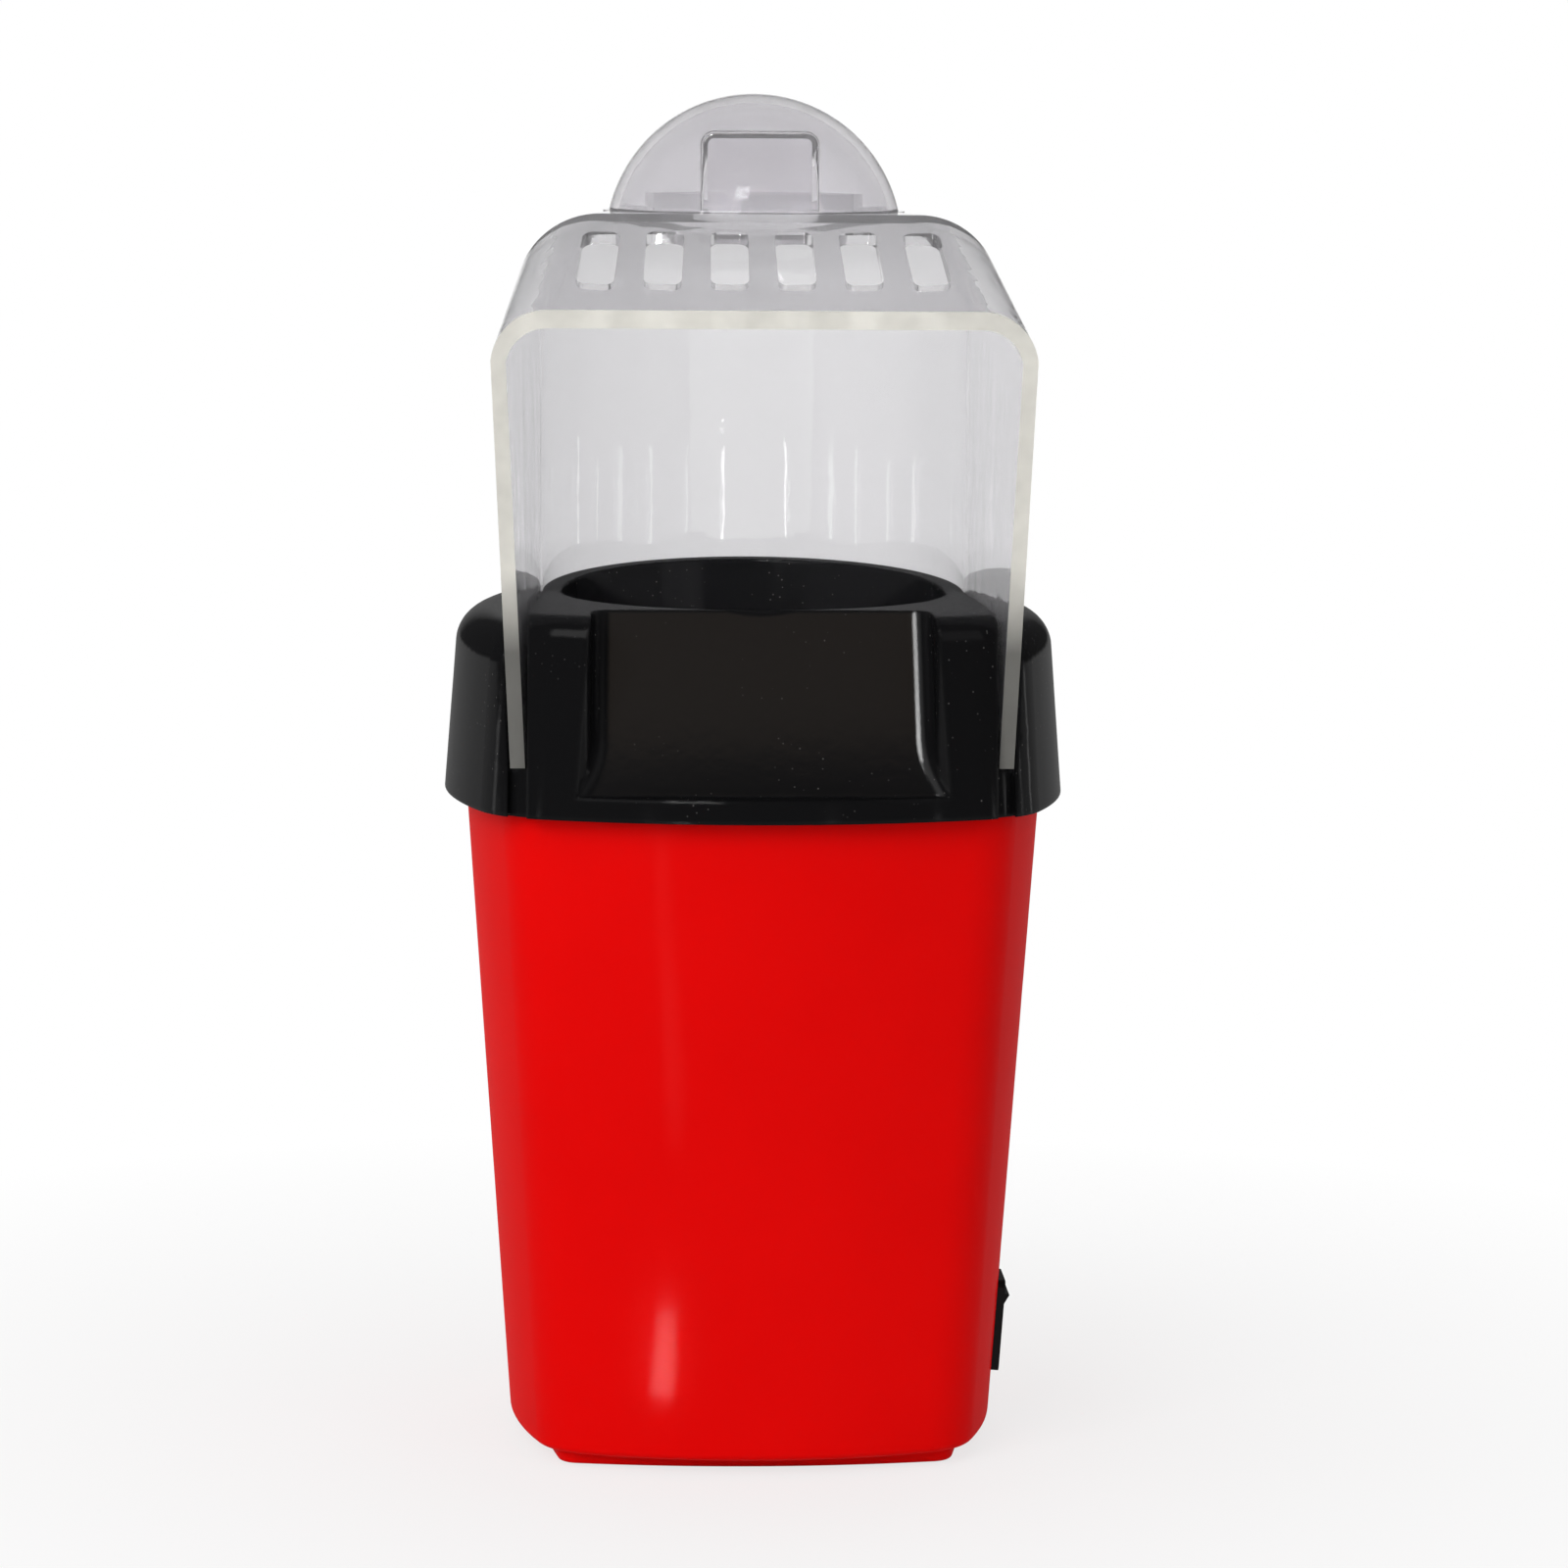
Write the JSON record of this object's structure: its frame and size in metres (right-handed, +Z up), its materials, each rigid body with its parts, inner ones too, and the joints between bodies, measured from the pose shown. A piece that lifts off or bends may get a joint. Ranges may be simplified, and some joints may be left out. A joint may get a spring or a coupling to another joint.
{
  "type": "hot-air popcorn maker",
  "caption": "Small hot-air popcorn maker: tapered red casing, black collar with chute, clear lift-off hood with vent slots, domed measuring cap, rocker switch, fan and heater inside.",
  "frame": {"origin": "on the table, under the middle of the base", "axes": "+Z up, +X to the side with the switch, the chute faces -Y"},
  "size_m": [0.1386, 0.1386, 0.301],
  "materials": {
    "red_plastic": "moulded, high gloss",
    "black_plastic": "moulded, high gloss",
    "clear_plastic": "clear, polished",
    "foot_rubber": "soft, matt",
    "screw_steel": "plated",
    "chamber_aluminium": "drawn, bare",
    "seal_rubber": "soft silicone",
    "duct_steel": "rolled sheet",
    "frame_plastic": "heat-proof moulding",
    "fan_plastic": "moulded",
    "bearing_brass": "turned",
    "motor_steel": "drawn can",
    "board_green": "lacquered board",
    "diode_black": "moulded",
    "mica": "pressed mineral sheet",
    "heater_wire": "drawn wire",
    "thermostat_ceramic": "plain",
    "switch_black": "moulded",
    "gland_black": "moulded"
  },
  "bodies": {
    "base": {"body_shell": "red_plastic", "base_cover": "red_plastic", "rubber_feet": "foot_rubber", "base_screws": "screw_steel", "top_collar": "black_plastic", "popping_chamber": "chamber_aluminium", "chamber_gasket": "seal_rubber", "chamber_screws": "screw_steel", "air_duct": "duct_steel", "fan_frame": "frame_plastic", "motor_bearing": "bearing_brass", "motor_can": "motor_steel", "motor_end_cap": "frame_plastic", "motor_screws": "screw_steel", "rectifier_board": "board_green", "rectifier_diodes": "diode_black", "heater_board_long": "mica", "heater_board_cross": "mica", "heater_coil": "heater_wire", "thermostat": "thermostat_ceramic", "thermal_fuse": "bearing_brass", "switch_housing": "switch_black", "switch_terminals": "bearing_brass", "cord_gland": "gland_black"},
    "hood": {"hood": "clear_plastic"},
    "cap": {"measuring_cap": "clear_plastic"},
    "rocker": {"switch_rocker": "switch_black"},
    "rotor": {"fan_wheel": "fan_plastic", "motor_shaft": "screw_steel"}
  },
  "joints": [
    {"name": "hood_lift", "type": "slide", "parent": "base", "child": "hood", "axis": [0, 0, 1], "range_m": [0, 0.06]},
    {"name": "cap_lift", "type": "slide", "parent": "hood", "child": "cap", "axis": [0, 0, 1], "range_m": [0, 0.04]},
    {"name": "rocker_tilt", "type": "hinge", "parent": "base", "child": "rocker", "pos_m": [0.05489, 0, 0.02264], "axis": [0, -1, 0], "range_deg": [0, 24]},
    {"name": "fan_spin", "type": "hinge", "parent": "base", "child": "rotor", "pos_m": [0, 0, 0.05], "axis": [0, 0, 1], "continuous": true}
  ]
}
